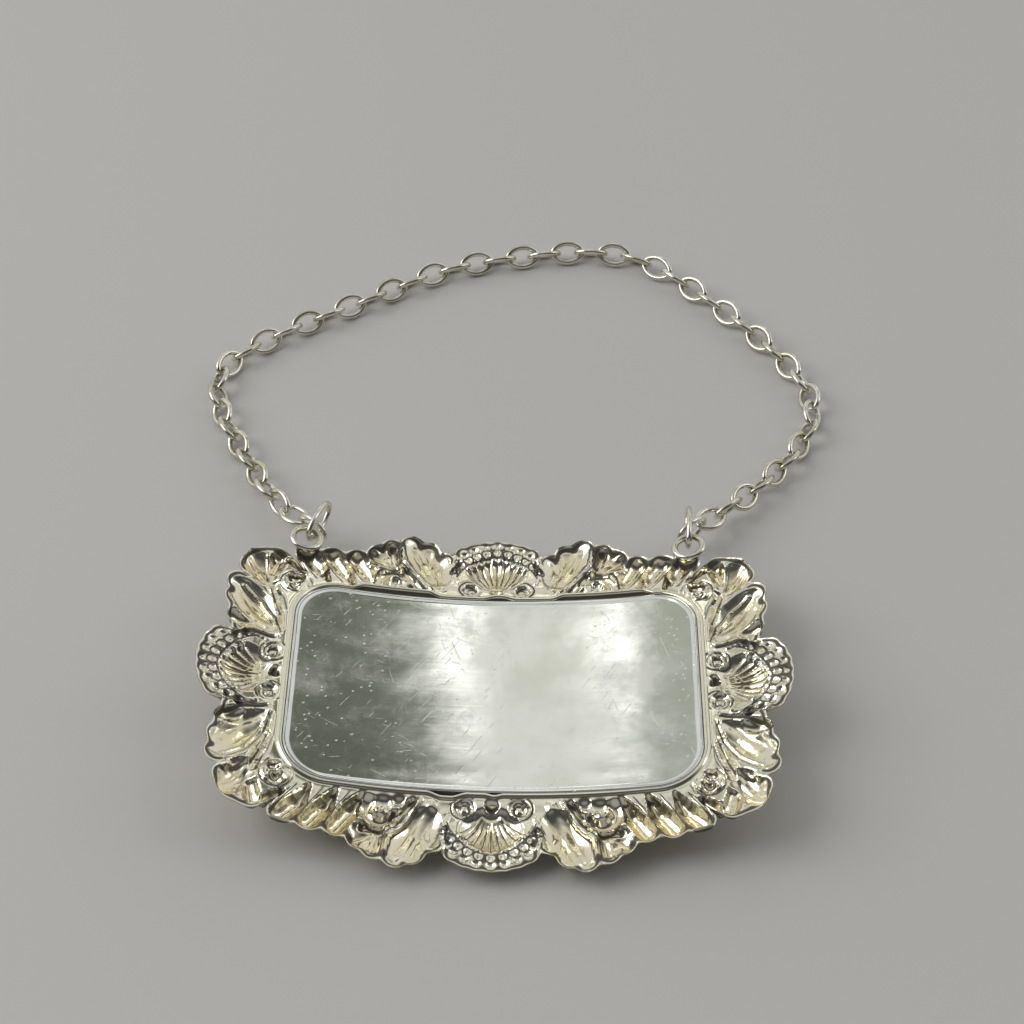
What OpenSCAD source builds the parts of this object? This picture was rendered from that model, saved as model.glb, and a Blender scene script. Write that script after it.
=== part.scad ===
// Silver wine label with its neck chain, lying face down on a table.
// The label is a bent plaque set into a die-stamped border of shells, leaves and gadroons.
// X runs along the label, Y up towards its eyelets, Z up from the table.
// The origin is on the table, under the middle of the plaque.

/* [Plaque] */
// width of the plaque across the bend
plaque_w = 41; // [32:0.5:56]
// height of the plaque
plaque_h = 25.2; // [20:0.2:34]
// corner radius of the plaque
plaque_corner_r = 4.6; // [3:0.1:6]
// thickness of the plaque sheet
plaque_t = 0.7; // [0.5:0.05:1]
// width of the raised rim round the back of the plaque
rim_w = 0.7; // [0.4:0.05:1.2]
// height of that rim over the back of the plaque
rim_h = 0.18; // [0.1:0.02:0.4]
// radius of the concave back, which lies against the bottle
bend_r = 84; // [60:1:140]

/* [Border] */
// thickness of the stamped border sheet
sheet_t = 0.5; // [0.35:0.05:0.8]
// depth of the deepest stamped hollow
relief = 1.35; // [0.8:0.05:1.8]
// general sinking of the border below the rim of the plaque
dish = 0.35; // [0.2:0.05:0.6]
// flat edge left round the outside of the hollows
edge_w = 0.18; // [0.1:0.02:0.4]
// softness of the notches between the lobes of the outline
notch_soft = 0.3; // [0.2:0.05:0.4]
// lap of the border under the edge of the plaque
lap_w = 0.9; // [0.6:0.1:1.5]
// height of the bead on the inner edge of the border
bead_h = 0.2; // [0.1:0.05:0.4]
// clearance round the plaque in its seat
seat_gap = 0.08; // [0.05:0.01:0.15]
// radius of a shell from its hinge to the middle of its lip
shell_r = 6.5; // [5.5:0.1:7.5]
// angle between two ribs of a shell
rib_step = 14; // [12:0.5:16]
// spacing of the gadroons
gadroon_pitch = 2.7; // [2.2:0.1:3.4]
// lean of a gadroon, measured along the edge
gadroon_lean = 2.1; // [1:0.1:2.8]
// radius of a gadroon at its foot, by the plaque
gadroon_foot_r = 0.85; // [0.6:0.05:1]
// radius of a gadroon at its tip
gadroon_tip_r = 1.2; // [1:0.05:1.3]

/* [Eyelets] */
// distance of each eyelet inside the end of the plaque
eyelet_in = 0.3; // [0:0.1:3]
// distance of the eyelet centres above the plaque
eyelet_rise = 6.4; // [6:0.1:8]
// radius of the eyelet from its centre to the middle of its wire
eyelet_r = 1.5; // [1.4:0.05:1.8]
// wire diameter of the eyelets
eyelet_wire = 0.72; // [0.6:0.02:0.8]

/* [Chain] */
// outside length of an end ring
ring_len = 5.6; // [5:0.1:7]
// outside width of an end ring
ring_w = 3.4; // [3.2:0.1:3.8]
// wire diameter of an end ring
ring_wire = 0.62; // [0.5:0.01:0.66]
// free play of an end ring round the wire of its eyelet
ring_play = 0.38; // [0.34:0.02:0.44]
// outside length of a chain link
link_len = 4.3; // [4:0.05:4.8]
// outside width of a chain link
link_w = 3; // [2.8:0.05:3.4]
// wire diameter of a chain link
link_wire = 0.62; // [0.5:0.01:0.66]
// free play between two links
link_play = 0.16; // [0.12:0.01:0.3]

/* [Hidden] */
$fn = 48;
n_links = 52;
half_w = plaque_w / 2;
half_h = plaque_h / 2;
corner_x = half_w - plaque_corner_r;
corner_y = half_h - plaque_corner_r;
base_z = dish + relief + sheet_t;
axis_z = base_z + bend_r;
eyelet_x = half_w - eyelet_in;
eyelet_y = half_h + eyelet_rise;
eyelet_depth = sheet_t / 2;
eyelet_tilt = asin(eyelet_x / bend_r);
eyelet_z = axis_z - (bend_r + eyelet_depth) * cos(eyelet_tilt);
pitch = link_len - 2 * link_wire - link_play;
half_links = n_links / 2;
join_turn = 1;
join_step = 0.01;
open_slack = 0.05;

function two_digits(k) = str(k < 10 ? "0" : "", k);
function link_name(k) = str("link_", two_digits(k));

silver = [0.80, 0.80, 0.77];
bright_silver = [0.86, 0.86, 0.84];

function clamp01(t) = max(0, min(1, t));
function smooth(t) = clamp01(t) * clamp01(t) * (3 - 2 * clamp01(t));
function unit(v) = v / norm(v);

// A point of the plan laid on the bent sheet, sunk below the back of the plaque.
function bent(p, depth) =
    let (a = asin(p.x / bend_r))
    [p.x + depth * sin(a), p.y, axis_z - (bend_r + depth) * cos(a)];

module rounded_plan(inset) {
    w = plaque_w - 2 * inset;
    h = plaque_h - 2 * inset;
    r = plaque_corner_r - inset;
    square([w - 2 * r, h], center = true);
    square([w, h - 2 * r], center = true);
    for (sx = [-1, 1], sy = [-1, 1])
        translate([sx * (w / 2 - r), sy * (h / 2 - r)])
            circle(r);
}

module bent_sheet(inner_r, outer_r, inset) {
    intersection() {
        linear_extrude(axis_z)
            rounded_plan(inset);
        translate([0, plaque_h, axis_z])
            rotate([90, 0, 0])
                difference() {
                    cylinder(r = outer_r, h = 2 * plaque_h, $fn = 180);
                    translate([0, 0, -1])
                        cylinder(r = inner_r, h = 2 * plaque_h + 2, $fn = 180);
                }
    }
}

// The plaque is a bent plate, bare on both sides, with a raised rim round its back.
module plaque() {
    color(bright_silver)
        difference() {
            bent_sheet(bend_r - rim_h, bend_r + plaque_t, 0);
            bent_sheet(bend_r - 2 * rim_h, bend_r, rim_w);
        }
}

// Every hollow is a groove from one point to another: [x, y, radius, x, y, radius, depth].
// A quarter of the border is described, and the other three are its mirror images.
function shell_grooves(hinge, along, across) = concat(
    [for (k = [0:3])
        let (d = along * cos(k * rib_step) + across * sin(k * rib_step))
        concat(hinge + d * 1.2, 0.3, hinge + d * (shell_r - 1.1), 0.72, 0.75)],
    [for (k = [0:3])
        let (d = along * cos(k * rib_step) + across * sin(k * rib_step))
        concat(hinge + d * shell_r, 0.92, hinge + d * shell_r, 0.92, 0.8)],
    [concat(hinge + along * 0.3 + across * 2.65, 1.1, hinge + along * 0.3 + across * 2.65, 1.1, 0.85)]
);

function leaf_grooves(stem, tips, root_r, deep) =
    [for (t = tips) [stem.x, stem.y, root_r, t[0], t[1], t[2], deep]];

function scroll_grooves(c, r, from, to, r0, r1, deep, n = 5) =
    [for (k = [0:n - 1])
        let (a = from + (to - from) * k / n, b = from + (to - from) * (k + 1) / n)
        [c.x + r * cos(a), c.y + r * sin(a), r0 + (r1 - r0) * k / n,
            c.x + r * cos(b), c.y + r * sin(b), r0 + (r1 - r0) * (k + 1) / n, deep]];

leaf_end = 11.4;
gadroon_run = corner_x + 3.2 - leaf_end;
n_gadroons = max(1, round(gadroon_run / gadroon_pitch));
gadroon_step = gadroon_run / n_gadroons;

gadroon_grooves = [for (k = [0:n_gadroons - 1])
    let (x = leaf_end + gadroon_step * (k + 0.45), drop = 0.25 * k)
    [x, half_h + 1.1, gadroon_foot_r, x + gadroon_lean, half_h + 4.8 - drop, gadroon_tip_r, 1]];

// The leaf beside the top shell, and the scroll that curls under its tip.
top_leaf_grooves = concat(
    leaf_grooves([5.3, half_h + 1], [
        [5.7, half_h + 6.3, 0.75], [7.3, half_h + 7.4, 0.9], [9.1, half_h + 8, 0.95]], 0.4, 0.9),
    leaf_grooves([8.9, half_h + 4.6], [
        [11.1, half_h + 7.2, 0.95], [12.6, half_h + 6.2, 0.9]], 0.6, 0.85),
    scroll_grooves([10.6, half_h + 2.4], 1.4, 160, -30, 0.5, 0.85, 0.85)
);

// The corner leaf, the leaf beside the side shell, and the scroll inside the corner.
corner_leaf_grooves = concat(
    leaf_grooves([half_w + 1.5, half_h + 0.9], [
        [half_w + 2.3, half_h + 3.2, 1], [half_w + 4.1, half_h + 2.7, 0.95],
        [half_w + 5, half_h + 1.1, 0.85]], 0.6, 0.95),
    leaf_grooves([half_w + 1.5, half_h - 6.5], [
        [half_w + 5.5, half_h - 5.9, 0.85]], 0.5, 0.85),
    leaf_grooves([half_w + 1.6, half_h - 4.6], [
        [half_w + 5.9, half_h - 3.6, 0.95]], 0.55, 0.95),
    leaf_grooves([half_w + 1.6, half_h - 2.8], [
        [half_w + 5.9, half_h - 1.3, 0.95]], 0.55, 0.95),
    scroll_grooves([half_w - 0.1, half_h + 0.1], 1.1, 150, -120, 0.5, 0.7, 0.7)
);

grooves = concat(
    shell_grooves([0, half_h + 1.4], [0, 1], [1, 0]),
    shell_grooves([half_w + 1.35, 0], [1, 0], [0, 1]),
    top_leaf_grooves,
    gadroon_grooves,
    corner_leaf_grooves
);

buttons = [[2.65, half_h + 1.7, 0.5], [half_w + 1.65, 2.65, 0.5]];

function along_groove(p, g) =
    let (ab = [g[3] - g[0], g[4] - g[1]], ap = [p.x - g[0], p.y - g[1]])
    clamp01((ap * ab) / max(ab * ab, 0.0001));

function groove_margin(p, g) =
    let (t = along_groove(p, g),
        c = [g[0] + (g[3] - g[0]) * t, g[1] + (g[4] - g[1]) * t])
    g[2] + (g[5] - g[2]) * t - norm([p.x, p.y] - c);

function groove_depth(p, g) =
    let (t = along_groove(p, g),
        c = [g[0] + (g[3] - g[0]) * t, g[1] + (g[4] - g[1]) * t],
        r = g[2] + (g[5] - g[2]) * t,
        q = norm([p.x, p.y] - c) / r)
    q < 1 ? g[6] * relief * (0.6 + 0.4 * r / max(g[2], g[5])) * pow(1 - q * q, 0.8) : 0;

function button_height(p, b) =
    let (q = norm([p.x, p.y] - [b[0], b[1]]) / b[2])
    q < 1 ? 0.4 * relief * sqrt(1 - q * q) : 0;

function stamped_depth(p) =
    dish + max([for (g = grooves) groove_depth(p, g)]) - max([for (b = buttons) button_height(p, b)]);

// The lobes of the outline run together softly, so the notches between them are shallow.
function outline_margin(p) =
    notch_soft * ln(total([for (g = grooves) exp(groove_margin(p, g) / notch_soft)]));

function in_border(p) =
    outline_margin(p) > -edge_w
    && norm(p - [eyelet_x, eyelet_y]) > eyelet_r + eyelet_wire / 2 + seat_gap;

// Width of the border along a column, found from the outside inwards.
function border_reach(p, d, w = 11) =
    w <= 3 || in_border(p + d * w) ? w : border_reach(p, d, w - 0.12);

// Columns of the border run outwards from the edge of the plaque, and lean with the gadroons.
top_columns = 34;
corner_columns = 26;
side_columns = 14;
quarter_columns = top_columns + corner_columns + side_columns;
lean_turn = 28;

function column_foot(i) =
    let (a = 90 - 90 * clamp01((i - top_columns) / corner_columns))
    i <= top_columns ? [corner_x * i / top_columns, half_h]
    : i <= top_columns + corner_columns
        ? [corner_x, corner_y] + plaque_corner_r * [cos(a), sin(a)]
        : [half_w, corner_y * (quarter_columns - i) / side_columns];

function column_way(i) =
    let (lean = 90 - lean_turn * smooth((i / top_columns - 0.45) / 0.55),
        a = lean * (1 - clamp01((i - top_columns) / corner_columns)))
    [cos(a), sin(a)];

// Rows of a column as [distance from the plaque, depth]: lap, seat, bead, then the stamped relief.
relief_rows = 5;
function column_rows(i) =
    let (p = column_foot(i), d = column_way(i), reach = border_reach(p, d), start = seat_gap + 0.9)
    concat(
        [[-lap_w, plaque_t + seat_gap], [seat_gap, plaque_t + seat_gap],
            [seat_gap + 0.35, -bead_h], [start, dish]],
        [for (k = [1:relief_rows])
            let (w = start + (reach - start) * k / relief_rows)
            [w, stamped_depth(p + d * w)]]
    );

module border() {
    quarter = [for (i = [0:quarter_columns])
        let (p = column_foot(i), d = column_way(i))
        [for (row = column_rows(i)) concat(p + d * row[0], row[1])]];
    columns = 4 * quarter_columns;
    rows = relief_rows + 4;
    function column(j) =
        let (q = floor(j / quarter_columns), i = j % quarter_columns)
        let (from = q % 2 == 0 ? quarter[i] : quarter[quarter_columns - i])
        let (sx = q < 2 ? 1 : -1, sy = q == 1 || q == 2 ? -1 : 1)
        [for (c = from) [c[0] * sx, c[1] * sy, c[2]]];
    plan = [for (j = [0:columns - 1]) column(j)];
    back = [for (col = plan, c = col) bent(c, c[2])];
    front = [for (col = plan, c = col) bent(c, c[2] + sheet_t)];
    size = columns * rows;
    function at(j, k) = (j % columns) * rows + k;
    faces = concat(
        [for (j = [0:columns - 1], k = [0:rows - 2])
            each [[at(j, k), at(j + 1, k + 1), at(j, k + 1)], [at(j, k), at(j + 1, k), at(j + 1, k + 1)]]],
        [for (j = [0:columns - 1], k = [0:rows - 2])
            each [[size + at(j, k), size + at(j, k + 1), size + at(j + 1, k + 1)],
                [size + at(j, k), size + at(j + 1, k + 1), size + at(j + 1, k)]]],
        [for (j = [0:columns - 1])
            each [[at(j, 0), size + at(j, 0), size + at(j + 1, 0)], [at(j, 0), size + at(j + 1, 0), at(j + 1, 0)]]],
        [for (j = [0:columns - 1])
            each [[at(j, rows - 1), at(j + 1, rows - 1), size + at(j + 1, rows - 1)],
                [at(j, rows - 1), size + at(j + 1, rows - 1), size + at(j, rows - 1)]]]
    );
    color(silver)
        polyhedron(points = concat(back, front), faces = faces, convexity = 10);
}

module eyelet(side) {
    color(silver)
        translate([side * eyelet_x, eyelet_y, eyelet_z])
            rotate([0, -side * eyelet_tilt, 0])
                rotate_extrude($fn = 48)
                    translate([eyelet_r, 0])
                        circle(d = eyelet_wire, $fn = 24);
}

module eyelet_left() {
    eyelet(-1);
}

module eyelet_right() {
    eyelet(1);
}

// An oval of round wire: two tight arcs at the ends and two wide arcs along the sides.
// The sides are a hair thinner and run a little way into the ends, so the arcs join as one solid.
module wire_oval(len, width, wire) {
    a = (len - wire) / 2;
    b = (width - wire) / 2;
    tight = 0.67 * b;
    wide = ((a - tight) * (a - tight) + b * b - tight * tight) / (2 * (b - tight));
    turn = atan2(wide - b, a - tight);
    for (s = [0, 180])
        rotate(s) {
            translate([a - tight, 0])
                rotate(-turn)
                    rotate_extrude(angle = 2 * turn)
                        translate([tight, 0])
                            circle(d = wire, $fn = 24);
            translate([0, b - wide])
                rotate(turn - join_turn)
                    rotate_extrude(angle = 180 - 2 * turn + 2 * join_turn)
                        translate([wide, 0])
                            circle(d = wire - join_step, $fn = 24);
        }
}

// Each end ring hangs in its eyelet on edge, turned to one side and resting level.
ring_turn_left = -22;
ring_turn_right = -2;
ring_reach = ring_len / 2 - ring_wire / 2 - (eyelet_wire + ring_wire) / 2 - ring_play;

function ring_turn(side) = side < 0 ? ring_turn_left : ring_turn_right;
function ring_way(side) = [-sin(ring_turn(side)), cos(ring_turn(side)), 0];
function ring_hold(side) =
    let (r = eyelet_r * ring_way(side))
    [side * eyelet_x + r.x * cos(eyelet_tilt), eyelet_y + r.y, eyelet_z + side * r.x * sin(eyelet_tilt)];
function ring_centre(side) = ring_hold(side) + ring_way(side) * ring_reach;

module end_ring(side) {
    color(bright_silver)
        translate(ring_centre(side))
            rotate([0, 0, 90 + ring_turn(side)])
                rotate([90, 0, 0])
                    wire_oval(ring_len, ring_w, ring_wire);
}

module end_ring_left() {
    end_ring(-1);
}

module end_ring_right() {
    end_ring(1);
}

// The route of the chain over the table: hand-set points, then a smooth curve through them.
// The points go with the eyelets, and are spread or drawn in until the route is as long as the chain.
lay_points = [
    [-24, 26.6, 1], [-28.6, 35.2, 0.12], [-32.1, 43.1], [-32.2, 49.6], [-26.5, 55.6], [-16.6, 62.3],
    [-6.8, 68.6], [3.6, 71.7], [11.6, 72.6], [17.9, 70.6], [24.8, 64], [30.9, 56.5],
    [35.2, 48.8], [35.6, 43.1], [32.4, 36.2, 0.12], [26.4, 28.6, 1]
];
lay_eyelet = [20.2, 19];
lay_middle = [1, 20];

// The links lie on edge, leaning 45 degrees to one side and the other by turns.
// The first and last links stand upright where they hang from the rings.
edge_lay = 45;
function lay_angle(k) = edge_lay * (smooth((k - 1) / 4) + smooth((k - n_links + 4) / 4));
function lay_height(k) =
    (link_w - link_wire) / 2 * max(sin(lay_angle(k)), cos(lay_angle(k))) + link_wire / 2;

// The end link takes hold of the lower side of the ring, a little way along it.
hook_along_left = -0.1;
hook_along_right = 0.7;
hook_apart = (ring_wire + link_wire) / 2 + link_play;
hook_inside = (link_len - link_wire - pitch) / 2;
function held_wire(side) =
    ring_centre(side)
    + ring_way(side) * (side < 0 ? hook_along_left : hook_along_right)
    - [0, 0, (ring_w - ring_wire) / 2];
function hook_point(side, next) =
    let (d = unit(next - held_wire(side)), slant = norm(cross(d, ring_way(side))))
    held_wire(side) - d * (hook_apart / slant - hook_inside);

floor_height = lay_height(n_links / 2);
function lay_point(c, spread) =
    let (p = [c[0] * eyelet_x / lay_eyelet.x, c[1] + eyelet_y - lay_eyelet.y],
        xy = lay_middle + (p - lay_middle) * spread)
    [xy.x, xy.y, floor_height + (len(c) > 2 ? c[2] : 0)];

function route_points(spread) =
    let (lay = [for (c = lay_points) lay_point(c, spread)])
    concat([hook_point(-1, lay[0])], lay, [hook_point(1, lay[len(lay) - 1])]);

function curve_point(p, i, t) =
    let (n = len(p), a = p[max(i - 1, 0)], b = p[i], c = p[i + 1], d = p[min(i + 2, n - 1)])
    0.5 * (2 * b + (c - a) * t + (2 * a - 5 * b + 4 * c - d) * t * t
        + (3 * b - a - 3 * c + d) * t * t * t);

curve_steps = 12;
function curve(spread) =
    let (p = route_points(spread))
    concat([for (i = [0:len(p) - 2], s = [0:curve_steps - 1]) curve_point(p, i, s / curve_steps)],
        [p[len(p) - 1]]);

function total(v, i = 0, sum = 0) = i >= len(v) ? sum : total(v, i + 1, sum + v[i]);
function curve_length(pts) = total([for (i = [1:len(pts) - 1]) norm(pts[i] - pts[i - 1])]);

chain_length = n_links * pitch - open_slack;
function fit_spread(lo, hi, n = 14) =
    let (mid = (lo + hi) / 2)
    n == 0 ? mid
    : curve_length(curve(mid)) > chain_length ? fit_spread(lo, mid, n - 1) : fit_spread(mid, hi, n - 1);

route = curve(fit_spread(0.6, 1.7));
route_back = [for (i = [len(route) - 1:-1:0]) route[i]];

// Pivots lie one pitch apart, stepped off along the route from one end.
function step_share(a, b, from) =
    let (d = b - a, f = a - from, k = d * d, m = f * d, c = f * f - pitch * pitch)
    (-m + sqrt(max(0, m * m - k * c))) / k;

function next_index(pts, i, from) =
    i >= len(pts) - 2 || norm(pts[i + 1] - from) >= pitch ? i : next_index(pts, i + 1, from);

function step_pivots(pts, count, i = 0, from = undef) =
    let (here = from == undef ? pts[0] : from)
    count == 0 ? [here]
    : let (n = next_index(pts, i, here), s = step_share(pts[n], pts[n + 1], here))
        concat([here], step_pivots(pts, count - 1, n, pts[n] + (pts[n + 1] - pts[n]) * s));

pivots_left = step_pivots(route, half_links);
pivots_right = step_pivots(route_back, half_links);

function link_from(k) = k <= half_links ? pivots_left[k - 1] : pivots_right[n_links - k + 1];
function link_to(k) = k <= half_links ? pivots_left[k] : pivots_right[n_links - k];
function link_roll(k) = lay_angle(k) + (k % 2 == 0 ? 0 : 90);

module chain_link(k) {
    a = link_from(k);
    b = link_to(k);
    d = unit(b - a);
    color(bright_silver)
        translate((a + b) / 2)
            rotate([0, 0, atan2(d.y, d.x)])
                rotate([0, -asin(d.z), 0])
                    rotate([link_roll(k), 0, 0])
                        wire_oval(link_len, link_w, link_wire);
}

plaque();
border();
eyelet_left();
eyelet_right();
end_ring_left();
end_ring_right();
for (k = [1:n_links])
    chain_link(k);
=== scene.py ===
from math import asin, atan2, cos, pi, radians, sin

import bmesh
import bpy
import numpy as np
from mathutils import Matrix, Vector, noise


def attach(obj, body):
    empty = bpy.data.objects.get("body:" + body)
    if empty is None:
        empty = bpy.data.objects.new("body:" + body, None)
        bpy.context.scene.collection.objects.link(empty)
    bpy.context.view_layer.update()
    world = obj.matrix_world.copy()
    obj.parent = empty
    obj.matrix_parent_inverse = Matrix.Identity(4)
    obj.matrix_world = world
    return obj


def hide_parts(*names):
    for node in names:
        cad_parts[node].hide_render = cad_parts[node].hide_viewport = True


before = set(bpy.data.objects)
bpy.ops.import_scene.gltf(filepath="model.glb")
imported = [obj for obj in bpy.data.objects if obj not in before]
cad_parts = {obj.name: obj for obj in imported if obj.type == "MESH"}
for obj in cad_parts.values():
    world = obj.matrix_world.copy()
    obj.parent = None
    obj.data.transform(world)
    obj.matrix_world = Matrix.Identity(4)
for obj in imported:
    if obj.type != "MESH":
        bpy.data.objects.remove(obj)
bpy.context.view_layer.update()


# The view is a close one from the front, half way up, with the camera held a little askew.
# The label lies face down near the viewer, and its chain runs away over the table.
mm = 0.001
view_elevation, view_azimuth, view_roll = radians(44.918), radians(0.539), radians(1.7265)
view_distance = 246.63 * mm
view_target = Vector((1.470, 25.884, 2.2)) * mm
sensor_width, focal_length, clip_start = 36, 79.82, 0.005

forward = Vector((sin(view_azimuth) * cos(view_elevation), cos(view_azimuth) * cos(view_elevation),
                  -sin(view_elevation)))
level = Vector((cos(view_azimuth), -sin(view_azimuth), 0))
upward = level.cross(forward)
camera_axes = Matrix((level * cos(view_roll) + upward * sin(view_roll),
                      upward * cos(view_roll) - level * sin(view_roll), -forward)).transposed()
camera_lens = bpy.data.cameras.new("view")
camera_lens.sensor_width, camera_lens.lens, camera_lens.clip_start = sensor_width, focal_length, clip_start
camera = bpy.data.objects.new("view", camera_lens)
camera.matrix_world = Matrix.Translation(view_target - forward * view_distance) @ camera_axes.to_4x4()
bpy.context.scene.collection.objects.link(camera)
bpy.context.scene.camera = camera


# The plaque is a plate of rolled silver, bent to the round of a bottle and left bare.
# Its back is seen: worn, brushed lengthways and nicked, with a raised rim dressed up along its edge.
plaque_half_w, plaque_half_h, plaque_corner_r, plaque_thick = 20.5, 12.6, 4.6, 0.7
bend_r, back_z = 84.0, 2.2
rim_rise, rim_in, rim_slope = 0.08, 0.65, 0.4
edge_drop, edge_round = 0.07, 0.16
cove_rise, cove_in, cove_slope = 0.02, 2.6, 2.0
wave_rise, ripple_rise, dent_rise = 0.03, 0.008, 0.0022
plate_columns, plate_rows, edge_crowding = 200, 130, 1.5
plaque_dull, plaque_bright = (0.84, 0.85, 0.80, 1), (0.92, 0.92, 0.89, 1)


class Tone:
    """A socket of a node tree: sums and products of it add Math nodes, and make() adds any other node."""

    def __init__(self, tree, socket=None):
        self.tree, self.socket = tree, socket

    def make(self, kind, settings=None, sockets=None, output=0):
        node = self.tree.nodes.new("ShaderNode" + kind)
        for name, value in (settings or {}).items():
            if name == "stops":
                while len(node.color_ramp.elements) < len(value):
                    node.color_ramp.elements.new(0.5)
                for element, (place, colour) in zip(node.color_ramp.elements, value):
                    element.position = place
                    element.color = (*colour, 1)
            else:
                setattr(node, name, value)
        for name, value in (sockets or {}).items():
            if isinstance(value, Tone):
                self.tree.links.new(value.socket, node.inputs[name])
            else:
                node.inputs[name].default_value = value
        return Tone(self.tree, node.outputs[output])

    def beside(self, output):
        """Another output of the node that this one comes from."""
        return Tone(self.tree, self.socket.node.outputs[output])

    def math(self, operation, first, second):
        return self.make("Math", {"operation": operation}, {0: first, 1: second})

    def __add__(self, other):
        return self.math("ADD", self, other)

    def __sub__(self, other):
        return self.math("SUBTRACT", self, other)

    def __rsub__(self, other):
        return self.math("SUBTRACT", other, self)

    def __mul__(self, other):
        return self.math("MULTIPLY", self, other)

    def __abs__(self):
        return self.math("ABSOLUTE", self, 0)

    __radd__, __rmul__ = __add__, __mul__

    def within(self, low, high):
        """0 where the tone is under low, 1 where it is over high, smooth between."""
        return self.make("MapRange", {"interpolation_type": "SMOOTHSTEP"},
                         {"Value": self, "From Min": low, "From Max": high})

    def blend(self, under, over):
        """One colour over another, by this tone as the mask."""
        return self.make("Mix", {"data_type": "RGBA"}, {"Factor": self, 6: under, 7: over}, output=2)

    def grain(self, scale, detail, roughness=0.5):
        """Noise read at this place."""
        return self.make("TexNoise", {}, {
            "Vector": self, "Scale": scale, "Detail": detail, "Roughness": roughness})

    def turned(self, degrees, scale):
        """This place turned about Z and then scaled, for marks that are long one way and fine the other."""
        return self.make("Mapping", {"vector_type": "TEXTURE"}, {
            "Vector": self, "Rotation": (0, 0, radians(degrees)), "Scale": [1 / s for s in scale]})


def silver(name):
    """A new metal material: its node tree, as an empty tone to build on, and its shader."""
    material = bpy.data.materials.new(name)
    material.use_nodes = True
    shader = material.node_tree.nodes["Principled BSDF"]
    shader.inputs["Metallic"].default_value = 1
    return material, Tone(material.node_tree), shader


def feed(shader, **sockets):
    """Links tones to a shader's sockets; an underscore in a name stands for a space."""
    for name, tone in sockets.items():
        tone.tree.links.new(tone.socket, shader.inputs[name.replace("_", " ")])


def lay_on_bend(bm):
    """Bends a flat layout to the bottle's round: from millimetres, z up from the plaque's back, to metres."""
    for v in bm.verts:
        x, y, height = v.co
        turn = asin(x / bend_r)
        v.co = Vector((x - height * sin(turn), y, back_z + bend_r - (bend_r - height) * cos(turn))) * mm


def finish_piece(name, bm, material, body, slot, *nodes, sharp=radians(42)):
    """Makes a finished bmesh an object of its own, which rides on a body and stands for CAD nodes."""
    mesh = bpy.data.meshes.new(name)
    bm.to_mesh(mesh)
    bm.free()
    mesh.shade_smooth()
    mesh.set_sharp_from_angle(angle=sharp)
    mesh.materials.append(material)
    piece = bpy.data.objects.new(name, mesh)
    bpy.context.scene.collection.objects.link(piece)
    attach(piece, body)
    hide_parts(*nodes)


def edge_distance(x, y):
    """Distance inside the plaque's rounded outline."""
    out_x, out_y = abs(x) - plaque_half_w + plaque_corner_r, abs(y) - plaque_half_h + plaque_corner_r
    return plaque_corner_r - min(max(out_x, out_y), 0) - Vector((max(out_x, 0), max(out_y, 0))).length


def ease(t):
    """Smooth step of t from 0 to 1."""
    t = np.clip(t, 0, 1)
    return t * t * (3 - 2 * t)


def uneven(x, y, scale_x, scale_y, layer):
    """Smooth unevenness from about -1 to 1; each layer is a pattern of its own."""
    return noise.noise(Vector((x * scale_x, y * scale_y, layer)))


def plaque_height(x, y):
    """Rim, dressed edge and the unevenness of a hammered and soldered plate."""
    e = edge_distance(x, y)
    dressed = 1 + 0.5 * uneven(x, y, 0.35, 0.35, 6.2)
    fall = edge_drop * ease((edge_round - e) / edge_round)
    rim = rim_rise * dressed * ease((rim_in - e) / rim_slope) - fall
    cove = cove_rise * ease((cove_in - e) / cove_slope)
    wave = wave_rise * uneven(x, y, 0.11, 0.17, 3.1) + ripple_rise * uneven(x, y, 0.4, 0.4, 8.4)
    dents = dent_rise * uneven(x, y, 1.1, 1.3, 2.7)
    return rim + cove + wave + dents


bm = bmesh.new()
bmesh.ops.create_grid(bm, x_segments=plate_columns, y_segments=plate_rows, size=1)
for v in bm.verts:
    spread = [np.sign(t) * (1 - (1 - abs(t)) ** edge_crowding) for t in v.co.xy]
    x, y = spread[0] * plaque_half_w, spread[1] * plaque_half_h
    a = (abs(x) - plaque_half_w + plaque_corner_r) / plaque_corner_r
    b = (abs(y) - plaque_half_h + plaque_corner_r) / plaque_corner_r
    if a > 0 and b > 0:
        x -= np.sign(x) * plaque_corner_r * a * (1 - (1 - b * b / 2) ** 0.5)
        y -= np.sign(y) * plaque_corner_r * b * (1 - (1 - a * a / 2) ** 0.5)
    v.co = x, y, plaque_height(x, y)
plate = bmesh.ops.extrude_face_region(bm, geom=bm.faces[:])
for v in plate["geom"]:
    if isinstance(v, bmesh.types.BMVert):
        v.co.z = -plaque_thick
bmesh.ops.recalc_face_normals(bm, faces=bm.faces)
lay_on_bend(bm)

# Nicks gather near the edge, and scratches cross the brushing in four directions.
plaque_silver, tone, shader = silver("plaque_silver")
place = tone.make("TexCoord", output="Object")
brushing = tone.make("Mapping", {}, {"Vector": place, "Scale": (60, 2600, 400)}).grain(1.0, 4)
clouds = place.grain(140.0, 5, 0.6)
worn = place.grain(320.0, 8, 0.75)
sideways = tone.make("SeparateXYZ", {}, {"Vector": place})
near_edge = tone.math("MAXIMUM", abs(sideways) * (1 / (plaque_half_w * mm)),
                      abs(sideways.beside("Y")) * (1 / (plaque_half_h * mm))).within(0.7, 1.0)
nick_cells = tone.make("TexVoronoi", {"feature": "F1"}, {
    "Vector": place.turned(35, (1000, 1700, 900)), "Scale": 1.0, "Randomness": 1.0})
nick_pick = place.grain(420.0, 4, 0.7)
nicks = (1 - nick_cells.within(0.07, 0.16)) * (nick_pick + near_edge * 0.12).within(0.51, 0.60)
scratches = 0
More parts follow.
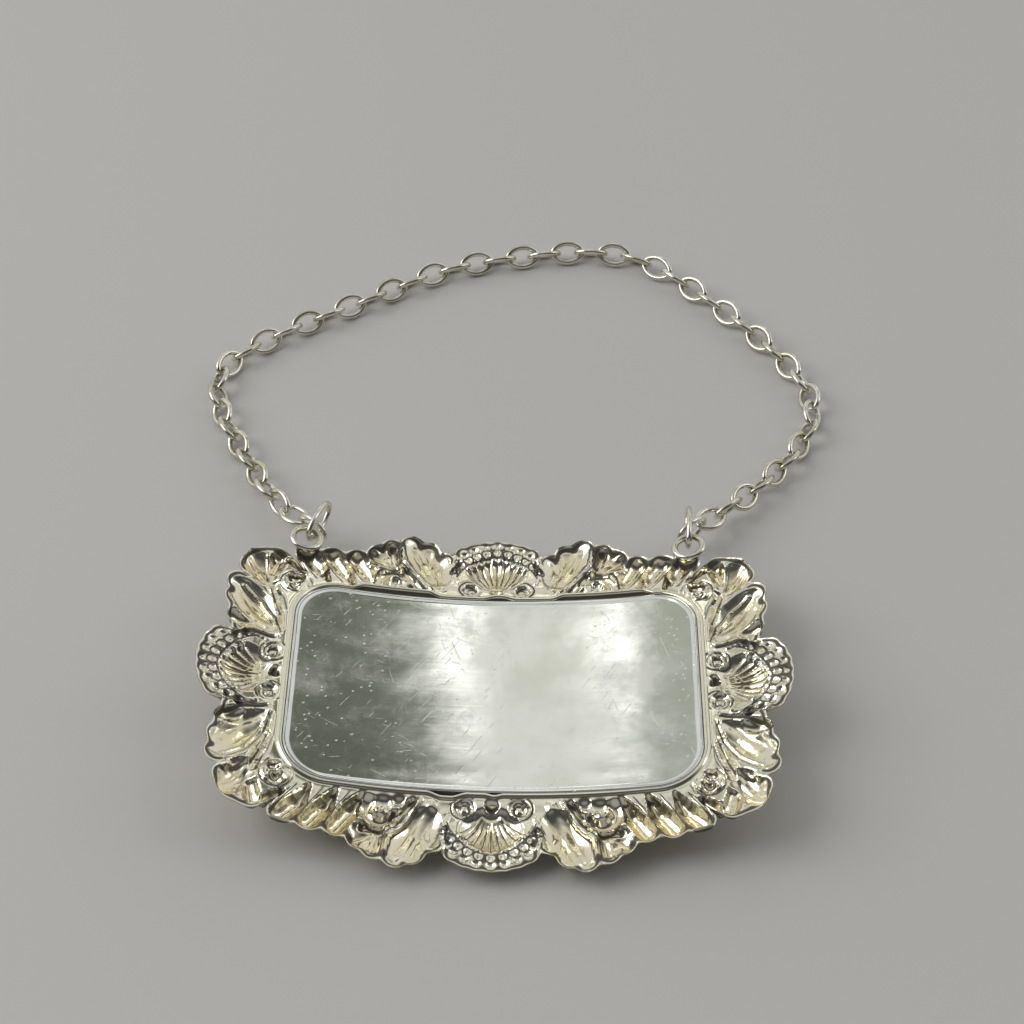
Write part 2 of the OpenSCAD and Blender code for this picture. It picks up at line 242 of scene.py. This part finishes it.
for turn, low in ((58, 0.69), (-24, 0.70), (12, 0.72), (-71, 0.71)):
    scratches = place.turned(turn, (260, 4200, 600)).grain(1.0, 2).within(low, low + 0.05) + scratches
feed(shader,
     Base_Color=clouds.within(0.35, 0.7).blend(plaque_dull, plaque_bright),
     Roughness=(0.08 + brushing * 0.05 + worn.within(0.45, 0.75) * 0.12 + clouds.within(0.5, 0.7) * 0.08
                + scratches * 0.06),
     Normal=tone.make("Bump", {}, {"Strength": 0.3, "Distance": 0.00004,
                                   "Height": brushing * 0.09 + worn * 0.25 - nicks * 2.0 - scratches * 0.22}))
finish_piece("plaque_plate", bm, plaque_silver, "label", "plaque_silver", "plaque")


# The border is one thin sheet, struck between dies and pierced to outline, so its back is hollow.
# A quarter is laid out and mirrored: half a shell, a leaf, a scroll, gadroons, two leaves, half a side shell.
# Dirt and painted shade lie dark in the creases, and the deep hollows have toned to the colour of straw.
sheet_thick, edge_thick, edge_taper = 0.5, 0.2, 0.8
relief, dish, edge_w, outline_soft, rim_w = 1.35, 0.35, 0.18, 0.3, 0.65
# The lip along the outline is darkened with painted shade, and the creases with painted shade and some dirt.
lip_in, lip_w, lip_sunk, lip_shade = 0.28, 0.17, 0.1, 0.95
crease_from, crease_span, crease_shade_and_dirt = 0.037, 0.05, 0.85
shell_r, rib_step, rib_count = 6.5, 11, 6
gadroon_lean, gadroon_count, leaf_end = 2.1, 3, 11.4
lap_w, bead_top = 0.9, 0.2
corner_x, corner_y = plaque_half_w - plaque_corner_r, plaque_half_h - plaque_corner_r
eyelet_x, eyelet_y, eyelet_r, notch_gap = 20.2, plaque_half_h + 6.4, 1.5, 0.1
w, h = plaque_half_w, plaque_half_h
# The black stands for dirt and painted shade in the creases, lines, lip and lap.
pale_silver, straw_silver, black_dirt_and_shade = (0.92, 0.88, 0.72, 1), (0.86, 0.76, 0.49, 1), (0.035, 0.028, 0.018, 1)


def flutes(stem, *tips, deep=0.9):
    """Hollows that widen from a stem to each rounded tip: x, y and radius of both, and the depth."""
    return [(*stem, *tip, deep) for tip in tips]


def cup(x, y, r, deep=0.9):
    """A round hollow."""
    return (x, y, r, x, y, r, deep)


def bow(centre, start_r, end_r, start, end, steps=12):
    """Points of an arc, or of a spiral where the two radii differ."""
    turns, radii = np.radians(np.linspace(start, end, steps + 1)), np.linspace(start_r, end_r, steps + 1)
    return [(centre[0] + r * cos(a), centre[1] + r * sin(a)) for a, r in zip(turns, radii)]


def scroll(centre, r, start, end, from_r, to_r, deep=0.9):
    """A hollow that curls round a centre and widens as it goes."""
    spots = bow(centre, r, r, start, end)
    wide = np.linspace(from_r, to_r, len(spots))
    return [(*spots[k], wide[k], *spots[k + 1], wide[k + 1], deep) for k in range(len(spots) - 1)]


# Hollows and ovals (x, y, turn, half length, half width, depth) run together smoothly, with ridges between.
# Pearls (x, y, way, half length, half width, rise) and lines (points, half width, rise, dirt and painted
# shade)
# lie over them: a raised line is a vein or roll, a sunk one a crease. The outline joins shapes whose depth is
# not used.
hollows, ovals, lines, pearls, outline = [], [], [], [], []

for hinge, along, across in ((Vector((0, h + 1.4)), Vector((0, 1)), Vector((1, 0))),
                             (Vector((w + 1.35, 0)), Vector((1, 0)), Vector((0, 1)))):
    def fan(r, lean):
        """A point of the shell, by its distance from the hinge and its lean from the shell's middle."""
        return hinge + along * r * cos(radians(lean)) + across * r * sin(radians(lean))

    leans = [k * rib_step for k in range(rib_count)]
    pearl_spots = [fan(6.05 - 0.012 * a, a) for a in leans]
    volute = hinge + along * 0.35 + across * 2.65
    bowl_turn, curl_start, spin = (90, 250, 1) if along.y else (0, 20, -1)
    hollows += [cup(*fan(6.95 - 0.0005 * a ** 2, a), 0.5, 0.22) for a in leans]
    hollows += [cup(*volute, 1.15, 0.42), cup(*fan(-0.1, 0), 0.75, 0.75)]
    ovals.append((*fan(2.95, 0), bowl_turn, 2.75, 3.2, 0.9))
    outline += [cup(*fan(shell_r + 0.2, a), 0.72) for a in leans[:4]] + [cup(*volute, 1.1)]
    pearls += [(*spot, along * cos(radians(a)) + across * sin(radians(a)), 0.55, 0.44, -0.17)
               for spot, a in zip(pearl_spots, leans)]
    pearls += [(*fan(5.2 - 0.018 * a, a), along, 0.3, 0.3, 0.24) for a in range(4, 45, 9)]
    pearls.append((*volute, along, 0.36, 0.36, 0.25))
    lines += [(bow(volute, 1.18, 0.62, curl_start, curl_start + spin * 400, 40), 0.22, 0.26, 0),
              (bow(volute, 1.3, 1.3, curl_start - spin * 20, curl_start + spin * 250, 16), 0.19, -0.1, 1)]
    lines += [([fan(1.4, a), fan(3.1, a), fan(4.8, a)], 0.27, 0.17, 0.05) for a in range(6, 50, rib_step)]
    lines += [([fan(2.2, a), fan(4.9, a)], 0.11, -0.05, 0.85) for a in range(0, 50, rib_step)]
    lines += [(bow(spot, 0.53, 0.53, 0, 360, 14), 0.16, 0.04, 1) for spot in pearl_spots]
    lines += [([fan(5.5 - 0.012 * a, a) for a in range(0, 70, 7)], 0.14, -0.08, 0.95),
              ([hinge + along * a + across * b for a, b in ((1.4, 4.05), (3.0, 4.5), (5.2, 4.3))],
               0.2, 0.2, 0.35)]

# The leaf beside the shell is a broad smooth cup with a scalloped edge, and folds over towards the scroll.
top_tips = [(5.6, h + 6.0, 0.8), (7.3, h + 7.35, 0.92), (9.05, h + 7.95, 0.97)]
curl = (10.6, h + 2.4)
ovals += [(7.3, h + 5.5, 64, 3.9, 2.3, 0.85), (12.0, h + 5.8, -35, 2.2, 1.6, 0.7)]
hollows += flutes((7.6, h + 1.2, 0.4), (9.5, h + 3.9, 0.55), deep=0.55)
hollows += [cup(8.9, h + 1.3, 0.75, 0.4), cup(10.4, h + 1.7, 1.0, 0.35)]
hollows += flutes((10.5, h + 4.6, 0.5), (11.1, h + 7.0, 0.8), (12.9, h + 6.0, 0.8), (12.2, h + 4.5, 0.55),
                  deep=0.75)
hollows += scroll(curl, 1.4, 160, -30, 0.5, 0.85, 0.6)
outline += flutes((5.3, h + 1, 0.4), *top_tips)
outline += flutes((8.9, h + 4.6, 0.6), (11.1, h + 7.2, 0.95), (12.6, h + 6.2, 0.9))
outline += scroll(curl, 1.4, 160, -30, 0.5, 0.85)
lines += [([(6.7, h + 1.0), (8.15, h + 3.7), (9.7, h + 5.4), (10.05, h + 7.6)], 0.24, 0.34, 0),
          ([(7.05, h + 0.9), (8.55, h + 3.5), (10.1, h + 5.2), (10.45, h + 7.4)], 0.16, -0.14, 0.9),
          ([(5.7, h + 1.6), (6.5, h + 3.4), (7.4, h + 5.4), (8.5, h + 7.6)], 0.75, 0.2, 0),
          ([(6.1, h + 2.6), (6.3, h + 4.6), (5.9, h + 6.4)], 0.55, 0.1, 0),
          ([(6.9, h + 4.2), (7.0, h + 5.6), (6.7, h + 7.1)], 0.4, 0.08, 0),
          (bow(curl, 2.15, 2.15, 165, 5), 0.16, -0.12, 1),
          (bow(curl, 0.5, 0.5, 200, -60), 0.2, 0.2, 0.1)]

gadroon_step = (corner_x + 3.2 - leaf_end) / gadroon_count
for k in range(gadroon_count):
    foot, far = leaf_end + gadroon_step * (k + 0.45), h + 4.8 - 0.25 * k
    bend, end = (foot + 0.75, h + 2.7, 1.0), foot + gadroon_lean
    hollows += flutes((foot - 0.15, h + 0.9, 0.35), bend, deep=0.85) + flutes(bend, (end, far, 1.15))
    outline += flutes((foot, h + 1.1, 0.85), (end, far, 1.2))
    lines.append(([(foot + 1.0, h + 0.9), (foot + 1.9, h + 2.2), (end + 1.2, far)], 0.14, 0.05, 0.8))

# A roll fills the corner, with one leaf curling out below it and another up the side to the shell.
roll = (w + 0.2, h - 0.1)
corner_tips = [(w + 2.3, h + 3.2, 1.0), (w + 4.1, h + 2.7, 0.95), (w + 5, h + 1.1, 0.85)]
side_stems = [(w + 1.5, h - 6.5, 0.5), (w + 1.6, h - 4.6, 0.55), (w + 1.6, h - 2.8, 0.55)]
side_tips = [(w + 5.5, h - 5.9, 0.85), (w + 5.9, h - 3.6, 0.95), (w + 5.9, h - 1.3, 0.95)]
ovals += [(w + 4.0, h - 4.2, 51, 4.0, 2.0, 0.9), (w + 5.0, h - 6.3, 10, 1.8, 1.0, 0.8),
          (w + 3.9, h + 1.1, 62, 2.6, 1.6, 0.85)]
hollows += [cup(roll[0], roll[1] + 0.6, 0.85, 0.5), cup(roll[0] + 0.25, roll[1] - 0.75, 0.6, 0.35)]
hollows += flutes((w + 2.5, h + 1.4, 0.8), (w + 2.1, h + 3.1, 0.95), deep=0.8)
hollows += flutes((w + 1.5, h - 4.6, 0.4), (w + 2.4, h - 0.6, 0.6), deep=0.5)
hollows += flutes((w - 0.5, h + 1.7, 0.35), (w + 0.75, h + 3.1, 0.85), deep=0.75)
outline += flutes((w + 1.5, h + 0.9, 0.6), *corner_tips)
outline += [cup(w + 3.2, h + 2.8, 0.95), cup(w + 4.5, h + 1.9, 0.9),
            cup(w + 5.2, h - 4.75, 0.95), cup(w + 5.4, h - 2.45, 0.95), cup(w + 4.7, h - 7.5, 1.1)]
for stem, tip in zip(side_stems, side_tips):
    outline += flutes(stem, tip)
outline += scroll((w - 0.1, h + 0.1), 1.1, 150, -120, 0.5, 0.7)
lines += [(bow(roll, 1.3, 1.3, 0, 360, 24), 0.2, 0.3, 0),
          (bow(roll, 1.62, 1.62, -60, 200, 16), 0.15, -0.12, 0.6),
          (bow(roll, 0.3, 0.5, 150, -150), 0.18, 0.25, 0),
          ([(w + 1.4, h - 8.0), (w + 2.0, h - 5.3), (w + 3.3, h - 3.3), (w + 5.3, h - 1.6)], 0.22, 0.3, 0),
          ([(w + 1.2, h - 7.4), (w + 1.75, h - 5.0), (w + 3.0, h - 3.0), (w + 5.0, h - 1.2)],
           0.16, -0.12, 0.7),
          ([(w + 1.9, h - 6.6), (w + 3.6, h - 5.4), (w + 4.8, h - 3.9), (w + 6.0, h - 2.2)], 0.75, 0.2, 0),
          ([(w + 3.0, h - 6.0), (w + 4.4, h - 5.5), (w + 5.9, h - 5.0)], 0.5, 0.1, 0),
          ([(w + 0.95, h - 7.0), (w + 1.15, h - 4.6), (w + 2.0, h - 1.8)], 0.3, 0.16, 0),
          ([(w + 0.9, h - 4.2), (w + 1.25, h - 2.6), (w + 1.9, h - 1.2)], 0.24, -0.14, 0.6),
          ([(w + 2.3, h - 2.7), (w + 3.0, h - 1.2), (w + 4.2, h - 0.2)], 0.28, 0.16, 0),
          ([(w + 1.8, h - 8.1), (w + 3.7, h - 7.7), (w + 5.6, h - 6.9)], 0.3, -0.25, 1),
          ([(w + 3.0, h - 0.4), (w + 3.8, h + 1.0), (w + 4.9, h + 2.3)], 0.4, 0.16, 0),
          ([(w + 2.9, h + 0.2), (w + 3.3, h + 1.7), (w + 3.6, h + 3.2)], 0.16, -0.1, 0.5)]


def inside(x, y, ax, ay, ar, bx, by, br):
    """How far each point lies inside a hollow, and the hollow's radius there."""
    run = (bx - ax) ** 2 + (by - ay) ** 2
    t = np.clip(((x - ax) * (bx - ax) + (y - ay) * (by - ay)) / max(run, 1e-6), 0, 1)
    r = ar + (br - ar) * t
    return r - np.hypot(x - ax - (bx - ax) * t, y - ay - (by - ay) * t), r


def in_oval(x, y, centre_x, centre_y, way, long, wide):
    """Each point along and across an oval, as shares of its half length and half width."""
    dx, dy = x - centre_x, y - centre_y
    return (dx * way.x + dy * way.y) / long, (dx * way.y - dy * way.x) / wide


def within_outline(x, y):
    """How far each point lies inside the pierced outline of the border."""
    joined = sum(np.exp(inside(x, y, *shape[:6])[0] / outline_soft) for shape in outline)
    margin = outline_soft * np.log(joined)
    clear = np.hypot(x - eyelet_x, y - eyelet_y) - eyelet_r - notch_gap
    return np.minimum(np.minimum(margin, margin * 0.5 + 0.6) + edge_w, clear)


def struck(x, y, to_edge):
    """Height of the struck relief over the dished sheet at each point, and the dirt and painted shade there.
    """
    depth, join = np.zeros_like(x), 8
    for *place, deep in hollows:
        far_in, r = inside(x, y, *place)
        bowl = np.clip(1 - (1 - far_in / r) ** 2, 0, 1) ** 0.7
        depth += (deep * relief * (0.6 + 0.4 * r / max(place[2], place[5])) * bowl) ** join
    for centre_x, centre_y, turn, long, wide, deep in ovals:
        way = Vector((cos(radians(turn)), sin(radians(turn))))
        a, b = in_oval(x, y, centre_x, centre_y, way, long, wide)
        depth += (deep * relief * np.clip(1 - a * a - b * b, 0, 1) ** 0.8) ** join
    margin, inner = within_outline(x, y), ease((to_edge - 1.0) / 0.6)
    height = -depth ** (1 / join) * np.maximum(inner, ease((margin + 0.2) / rim_w))
    for *oval, rise in pearls:
        a, b = in_oval(x, y, *oval)
        height += rise * np.sqrt(np.clip(1 - (abs(a) ** 3 + abs(b) ** 3) ** (2 / 3), 0, 1))
    shade_and_dirt, raised, sunk = np.zeros_like(x), np.zeros_like(x), np.zeros_like(x)
    # Each line's last number darkens it with dirt and painted shade.
    for points, half, rise, shade_and_grime in lines:
        near = np.max([inside(x, y, *p, half, *q, half)[0] for p, q in zip(points, points[1:])], axis=0)
        profile = np.clip(1 - (1 - np.clip(near / half, 0, 1)) ** 2, 0, 1) ** 2
        raised, sunk = np.maximum(raised, rise * profile), np.maximum(sunk, -rise * profile)
        shade_and_dirt = np.maximum(shade_and_dirt, shade_and_grime * profile)
    wander = np.sin(1.9 * x + 1.1 * y) * np.sin(1.3 * x - 2.3 * y)
    # A dark line of painted shade is laid along the sunk lip inside the outline.
    lip = np.exp(-((margin - lip_in - 0.1 * wander) / (lip_w + 0.08 * wander)) ** 2) * (1 - inner)
    return height + raised - sunk - lip_sunk * lip, np.maximum(shade_and_dirt, lip_shade * lip)


# Columns run outwards from the plaque's edge and lean with the gadroons; rows run from lap to outline.
# The inner rows are distance and height, from under the plaque over the bead that frames it.
top_share, corner_share, column_lean = 34 / 74, 60 / 74, 28
column_count, relief_rows = 300, 55
least_reach, most_reach, reach_step = 3.0, 11, 0.02
weld, shade_and_dirt_from = 1e-4, 0.7
inner_rows = [(-lap_w, -0.78), (0.0, -0.78), (0.03, -0.1), (0.1, 0.09), (0.2, 0.18),
              (0.32, bead_top), (0.44, 0.15), (0.54, 0.04), (0.62, -0.02), (0.74, -0.06)]
start, start_z = inner_rows[-1]
last_row = len(inner_rows) + relief_rows - 1


def column_line(s):
    """Foot and direction of the columns at shares s of the quarter's length."""
    bend = np.clip((s - top_share) / (corner_share - top_share), 0, 1)
    turn = np.radians(90 - 90 * bend)
    on_side = np.clip((1 - s) / (1 - corner_share), 0, 1)
    foot_x = np.where(s <= top_share, corner_x * s / top_share, corner_x + plaque_corner_r * np.cos(turn))
    foot_y = np.where(s >= corner_share, corner_y * on_side, corner_y + plaque_corner_r * np.sin(turn))
    lean = np.radians((90 - column_lean * ease((s / top_share - 0.45) / 0.55)) * (1 - bend))
    return foot_x, foot_y, np.cos(lean), np.sin(lean)


foot_x, foot_y, way_x, way_y = column_line(np.linspace(0, 1, column_count + 1))
reach = np.full(column_count + 1, least_reach)
for out in np.arange(least_reach, most_reach, reach_step):
    reach = np.where(within_outline(foot_x + way_x * out, foot_y + way_y * out) > 0, out, reach)

bm = bmesh.new()
bmesh.ops.create_grid(bm, x_segments=column_count, y_segments=last_row, size=0.5)
from_plaque, shade_and_grime_layer, spare_layer, edge_layer = (
    bm.verts.layers.float.new(name) for name in ("from_plaque", "shade_and_grime", "spare", "to_edge"))
columns = [round((v.co.x + 0.5) * column_count) for v in bm.verts]
rows = [round((v.co.y + 0.5) * last_row) for v in bm.verts]
for v, column, row in zip(bm.verts, columns, rows):
    past = (row - len(inner_rows) + 1) / relief_rows
    v[from_plaque] = inner_rows[row][0] if past <= 0 else start + (reach[column] - start) * past
    v[spare_layer] = (column % 2 + row % 2) * (0 < row < last_row)
    v[edge_layer] = reach[column] - v[from_plaque]
    ground = start_z - (dish + start_z) * ease((v[from_plaque] - start) / 2)
    v.co = (foot_x[column] + way_x[column] * v[from_plaque], foot_y[column] + way_y[column] * v[from_plaque],
            inner_rows[row][1] if past <= 0 else ground)
spots = np.array([(*v.co.xy, v[edge_layer]) for v in bm.verts])
# Dirt and painted shade begin only past the bead round the plaque.
for v, height, shade_and_grime in zip(bm.verts, *struck(*spots.T)):
    v.co.z += float(height * ease((v[from_plaque] - 0.6) / 0.9))
    v[shade_and_grime_layer] = float(shade_and_grime) if v[from_plaque] > shade_and_dirt_from else 0
    if abs(v.co.x) < weld:
        v.co.x = 0
    if abs(v.co.y) < weld:
        v.co.y = 0

# Dirt and painted shade also darken the sheet wherever it lies lower than the mean of what is around it.
surface = np.zeros((column_count + 1, last_row + 1))
surface[columns, rows] = [v.co.z for v in bm.verts]
around = surface.copy()
for _ in range(3):
    padded = np.pad(around, 1, mode="edge")
    around = (padded[2:, 1:-1] + padded[:-2, 1:-1] + padded[1:-1, 2:] + padded[1:-1, :-2]) / 4
crease = ease((around - surface - crease_from) / crease_span)
for v, column, row in zip(bm.verts, columns, rows):
    if v[from_plaque] > shade_and_dirt_from:
        v[shade_and_grime_layer] = max(v[shade_and_grime_layer], crease_shade_and_dirt * float(crease[column, row]))
for axis in "XY":
    bmesh.ops.mirror(bm, geom=bm.verts[:] + bm.edges[:] + bm.faces[:], merge_dist=weld, axis=axis)
bmesh.ops.remove_doubles(bm, verts=bm.verts, dist=weld)

# Hand finishing left the struck sheet uneven, and the solder has let go of the plaque in a few open slits:
# top or bottom, from x, to x, and how far each one gapes.
slits = [(1, -15.2, -5.6, 0.6), (1, -1.6, 2.2, 0.4), (1, 5.6, 16.6, 0.55),
         (-1, -6.4, -2.4, 0.5), (-1, -0.8, 1.2, 0.45)]
slit_fade, finish_rise = 1.6, 0.04
for v in bm.verts:
    x, y, _ = v.co
    for side, low, high, gap in slits:
        if y * side > plaque_half_h and v[from_plaque] > 0.01:
            along = float(ease((x - low) / slit_fade) * ease((high - x) / slit_fade))
            v.co.y += side * gap * along * float(ease((1.8 - v[from_plaque]) / 1.4))
    if v[from_plaque] > 1:
        rough = uneven(x, y, 0.9, 0.9, 5.7) + 0.5 * uneven(x, y, 2.3, 2.3, 1.9)
        v.co.z += finish_rise * rough * min(1, v[from_plaque] - 1)
bmesh.ops.recalc_face_normals(bm, faces=bm.faces)
if sum(f.normal.z for f in bm.faces) < 0:
    bmesh.ops.reverse_faces(bm, faces=bm.faces)
bm.normal_update()

# The material reads how deep each spot is and how dark its dirt and painted shade are. The unseen face is
# thinned towards the outline, and it keeps only a quarter of its points.
relief_layer = bm.verts.layers.float_color.new("relief")
for v in bm.verts:
    deep = min(1, max(0, -v.co.z - dish) / relief)
    # Painted shade: the sheet under the plaque's edge, seen in the open slits, is marked fully dark.
    under = 1.0 if v[from_plaque] < 0.05 else 0.0
    v[relief_layer] = (deep, max(under, v[shade_and_grime_layer]), 0, 1)
sheet = bmesh.ops.extrude_face_region(bm, geom=bm.faces[:])
face_verts = [v for v in sheet["geom"] if isinstance(v, bmesh.types.BMVert)]
for v in face_verts:
    v.co.z -= edge_thick + (sheet_thick - edge_thick) * float(ease(v[edge_layer] / edge_taper))
spare = {amount: [v for v in face_verts if round(v[spare_layer]) == amount] for amount in (2, 1)}
bmesh.ops.dissolve_verts(bm, verts=spare[2])
bmesh.ops.dissolve_verts(bm, verts=spare[1])
bmesh.ops.recalc_face_normals(bm, faces=bm.faces)
lay_on_bend(bm)

border_silver, tone, shader = silver("border_silver")
place = tone.make("TexCoord", output="Object")
hollow = tone.make("SeparateColor", {}, {"Color": tone.make("Attribute", {"attribute_name": "relief"})})
shade_and_grime = hollow.beside("Green")
mottle = place.grain(900.0, 6, 0.65)
patches = place.grain(160.0, 3)
toning = hollow.within(0.15, 0.9) * (0.5 + patches.within(0.35, 0.7) * 0.5)
specks = hollow.within(0.3, 0.8) * mottle.within(0.56, 0.68) * 0.45
# Painted shade and dirt turn the marked creases, lines, lip and the lap under the plaque near black and less
# shiny; the specks are tarnish in the hollows.
shade_and_dirt = (shade_and_grime * (0.35 + mottle * 0.6 + patches * 0.8)).within(0.25, 0.75) * 0.92 + specks * (1 - shade_and_grime)
feed(shader,
     Base_Color=shade_and_dirt.blend(toning.blend(pale_silver, straw_silver), black_dirt_and_shade),
     Metallic=1 - shade_and_dirt,
     Roughness=0.11 + mottle * 0.08 + shade_and_dirt * 0.3,
     Normal=tone.make("Bump", {}, {"Strength": 0.12, "Distance": 0.00005, "Height": mottle}))
finish_piece("border_sheet", bm, border_silver, "label", "border_silver", "border", sharp=radians(60))


# The two eyelets are rings of drawn wire, soldered into notches in the top edge of the border.
# Each takes one end of the chain.
eyelet_wire, half_turn_steps = 0.72, 36
wire_dull, wire_bright = (0.66, 0.63, 0.51, 1), (0.84, 0.82, 0.74, 1)
wire_silver, tone, shader = silver("wire_silver")
place = tone.make("TexCoord", output="Object")
draw_marks = place.grain(1400.0, 4, 0.6)
rubbed = place.grain(260.0, 3)
feed(shader,
     Base_Color=rubbed.within(0.35, 0.65).blend(wire_dull, wire_bright),
     Roughness=0.14 + draw_marks * 0.12,
     Normal=tone.make("Bump", {}, {"Strength": 0.25, "Distance": 0.00004, "Height": draw_marks}))


def node_frame(node):
    """Matrix that carries X, Y and Z to the long, wide and thin ways of a CAD node, from its middle."""
    spots = np.array([v.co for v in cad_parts[node].data.vertices], float)
    middle = spots.mean(0)
    ways = np.linalg.svd(spots - middle, full_matrices=False)[2]
    ways[2] = np.cross(ways[0], ways[1])
    along = (spots - middle) @ ways.T
    middle = middle + ((along.max(0) + along.min(0)) / 2) @ ways
    return Matrix.Translation(middle) @ Matrix(ways.T.tolist()).to_4x4()


def wire_ring(start, arcs, wire, sides=16):
    """Round wire bent along arcs, each (centre x, centre y, angle, steps), and closed on itself."""
    bm = bmesh.new()
    bmesh.ops.create_circle(bm, segments=sides, radius=wire / 2 * mm, matrix=(
        Matrix.Translation(Vector((*start, 0)) * mm) @ Matrix.Rotation(pi / 2, 4, "X")))
    geom = bm.verts[:] + bm.edges[:]
    for centre_x, centre_y, angle, steps in arcs:
        geom = bmesh.ops.spin(bm, geom=geom, cent=Vector((centre_x, centre_y, 0)) * mm, axis=(0, 0, 1),
                              angle=angle, steps=steps)["geom_last"]
    bmesh.ops.remove_doubles(bm, verts=bm.verts, dist=1e-6)
    bmesh.ops.recalc_face_normals(bm, faces=bm.faces)
    return bm


for eyelet in ("eyelet_left", "eyelet_right"):
    bm = wire_ring((eyelet_r, 0), [(0, 0, pi, half_turn_steps)] * 2, eyelet_wire, sides=20)
    bm.transform(node_frame(eyelet))
    finish_piece(eyelet + "_ring", bm, wire_silver, "label", "wire_silver", eyelet)


# The chain is a cable chain of oval links, each a length of drawn wire bent round and soldered shut.
# A longer oval ring at each end joins it to its eyelet, and every piece hangs loose in the next.
link_count, link_size, end_ring_size, chain_wire = 52, (4.3, 3.0), (5.6, 3.4), 0.62
end_tightness, end_steps, side_steps = 0.67, 16, 14


def wire_oval(length, width, wire):
    """An oval link: two tight arcs at its ends and two wide arcs along its sides."""
    a, b = (length - wire) / 2, (width - wire) / 2
    tight = end_tightness * b
    wide = ((a - tight) ** 2 + b * b - tight * tight) / (2 * (b - tight))
    turn = atan2(wide - b, a - tight)
    half_end, end, side = (turn, end_steps // 2), (2 * turn, end_steps), (pi - 2 * turn, side_steps)
    return wire_ring((a, 0), [(a - tight, 0, *half_end), (0, b - wide, *side), (tight - a, 0, *end),
                              (0, wide - b, *side), (a - tight, 0, *half_end)], wire)


chain = [("end_ring_left", end_ring_size), ("end_ring_right", end_ring_size)] + [
    ("link_%02d" % k, link_size) for k in range(1, link_count + 1)]
for node, size in chain:
    bm = wire_oval(*size, chain_wire)
    bm.transform(node_frame(node))
    finish_piece(node + "_wire", bm, wire_silver, node, "wire_silver", node)


# The table is a plain pale sheet, and a soft light from the left throws the shadows.
# The studio is a dome, dark towards the front and paler behind. At its back, half way up, lies a soft patch
# of bright and dark bands, which the plaque mirrors.
table_half, table_drop, table_colour, table_roughness = 4, 0.00002, (0.70, 0.68, 0.65, 1), 0.8
bm = bmesh.new()
bmesh.ops.create_grid(bm, x_segments=1, y_segments=1, size=table_half)
bmesh.ops.translate(bm, verts=bm.verts, vec=(0, 0, -table_drop))
floor_mesh = bpy.data.meshes.new("table_top")
bm.to_mesh(floor_mesh)
bm.free()
table_paper = bpy.data.materials.new("table_paper")
table_paper.use_nodes = True
paper = table_paper.node_tree.nodes["Principled BSDF"]
paper.inputs["Base Color"].default_value = table_colour
paper.inputs["Roughness"].default_value = table_roughness
floor_mesh.materials.append(table_paper)
table_top = bpy.data.objects.new("table_top", floor_mesh)
bpy.context.scene.collection.objects.link(table_top)


def soft_panel(name, direction, distance, width, height, glow):
    """A rectangular light turned to the label; glow is how bright its face looks."""
    light = bpy.data.lights.new(name, "AREA")
    light.shape, light.size, light.size_y = "RECTANGLE", width, height
    light.energy = 4 * width * height * glow
    lamp = bpy.data.objects.new(name, light)
    lamp.location = Vector(direction).normalized() * distance
    lamp.rotation_mode = "QUATERNION"
    lamp.rotation_quaternion = (-lamp.location).to_track_quat("-Z", "Y")
    bpy.context.scene.collection.objects.link(lamp)


soft_panel("left_softbox", (-0.75, 0.05, 0.62), 0.80, 0.56, 0.56, 1.8)
soft_panel("right_strip", (0.80, 0.15, 0.55), 0.80, 0.16, 0.40, 1.2)

# Each ramp is a list of places and colours. The bands run along a slant of right and up.
dim, pale = (0.125, 0.135, 0.105), (1.7, 1.7, 1.66)
dome_greys = [(0.0, 0.34), (0.09, 0.26), (0.18, 0.06), (0.35, 0.06), (0.5, 0.32), (0.68, 0.70), (1.0, 0.62)]
back_bands = [
    (0.0, (0.40, 0.42, 0.36)), (0.03, (0.27, 0.28, 0.24)), (0.08, pale), (0.11, pale),
    (0.19, (0.70, 0.71, 0.64)), (0.38, (0.60, 0.61, 0.55)), (0.44, pale), (0.465, pale),
    (0.525, (0.36, 0.38, 0.32)), (0.58, (0.18, 0.19, 0.16)), (0.68, dim), (0.74, (0.16, 0.17, 0.135)),
    (0.79, dim), (0.84, (0.30, 0.31, 0.27)), (0.90, dim)]
front_bands = [
    (0.0, (0.36, 0.38, 0.34)), (0.18, (0.52, 0.54, 0.50)), (0.30, (0.72, 0.73, 0.70)),
    (0.42, (0.78, 0.79, 0.76)), (0.47, (0.60, 0.61, 0.57)), (0.53, (0.22, 0.23, 0.19)),
    (0.60, (0.11, 0.12, 0.09)), (0.80, (0.10, 0.11, 0.085)), (0.87, (0.16, 0.17, 0.14)), (0.92, dim)]
world = bpy.data.worlds.new("studio")
world.use_nodes = True
bpy.context.scene.world = world
sky = Tone(world.node_tree)
right = sky.make("SeparateXYZ", {}, {"Vector": sky.make("TexCoord", output="Generated")})
back, up = right.beside("Y"), right.beside("Z")
slant = (right + (up - 0.735) * 0.9) * 1.5 + 0.36
dome = sky.make("ValToRGB", {"stops": [(stop, (grey, grey, grey)) for stop, grey in dome_greys]},
                {"Fac": back * 0.5 + 0.5})
bands = back.within(0.628, 0.655).blend(sky.make("ValToRGB", {"stops": front_bands}, {"Fac": slant}),
                                        sky.make("ValToRGB", {"stops": back_bands}, {"Fac": slant}))
patch = ((1 - abs(right).within(0.32, 0.42)) * back.within(0.36, 0.48)
         * up.within(0.45, 0.55) * (1 - up.within(0.84, 0.92)))
background = world.node_tree.nodes["Background"]
world.node_tree.links.new(patch.blend(dome, bands).socket, background.inputs["Color"])
background.inputs["Strength"].default_value = 1.0
bpy.context.scene.view_settings.view_transform = "Standard"
